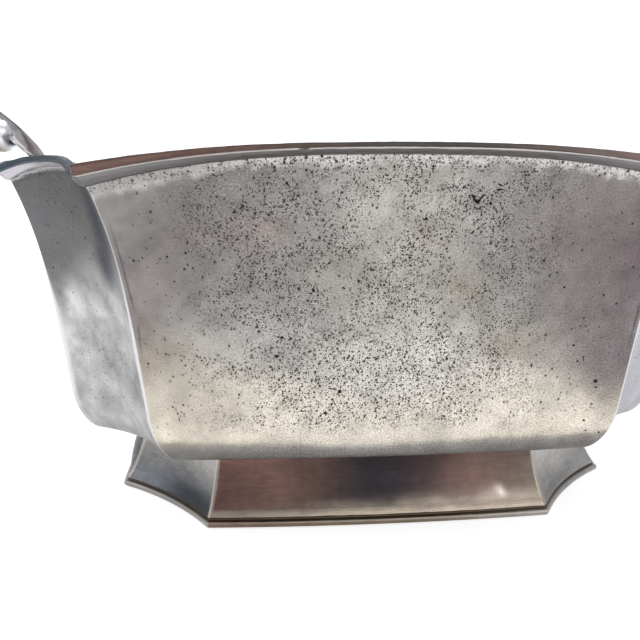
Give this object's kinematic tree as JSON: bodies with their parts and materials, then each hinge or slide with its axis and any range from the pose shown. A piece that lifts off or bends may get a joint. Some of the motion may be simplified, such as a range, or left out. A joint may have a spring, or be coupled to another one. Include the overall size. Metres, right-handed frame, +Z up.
{
  "type": "sauce boat",
  "caption": "Metal sauce boat: long bowl with hollowed corners, everted moulded rim, pouring lip at one end, free scroll handle with a ball at the other, on a spreading foot of the same plan.",
  "frame": {"origin": "on the table, under the middle of the object's outline in X and on its mirror plane in Y", "axes": "+X toward the pouring lip, -X toward the handle, -Y the front side, +Z up"},
  "size_m": [0.213, 0.0994, 0.096],
  "materials": {
    "bowl_metal": "cast and brushed silver-grey metal, pitted, worn",
    "rim_metal": "polished moulding with brown tarnish",
    "foot_metal": "smooth satin metal, light tarnish",
    "base_metal": "worn bead, dark in its groove",
    "handle_metal": "polished"
  },
  "bodies": {
    "root": {"bowl_front_side": "bowl_metal", "bowl_spout_front_corner": "bowl_metal", "bowl_spout_end": "bowl_metal", "bowl_spout_back_corner": "bowl_metal", "bowl_back_side": "bowl_metal", "bowl_handle_back_corner": "bowl_metal", "bowl_handle_end": "bowl_metal", "bowl_handle_front_corner": "bowl_metal", "bowl_bottom": "bowl_metal", "rim_front_side": "rim_metal", "rim_spout_front_corner": "rim_metal", "rim_spout_end": "rim_metal", "rim_spout_back_corner": "rim_metal", "rim_back_side": "rim_metal", "rim_handle_back_corner": "rim_metal", "rim_handle_end": "rim_metal", "rim_handle_front_corner": "rim_metal", "foot_front_side": "foot_metal", "foot_spout_front_corner": "foot_metal", "foot_spout_end": "foot_metal", "foot_spout_back_corner": "foot_metal", "foot_back_side": "foot_metal", "foot_handle_back_corner": "foot_metal", "foot_handle_end": "foot_metal", "foot_handle_front_corner": "foot_metal", "base_front_side": "base_metal", "base_spout_front_corner": "base_metal", "base_spout_end": "base_metal", "base_spout_back_corner": "base_metal", "base_back_side": "base_metal", "base_handle_back_corner": "base_metal", "base_handle_end": "base_metal", "base_handle_front_corner": "base_metal", "handle_strap": "handle_metal", "handle_ball": "handle_metal"}
  },
  "joints": []
}
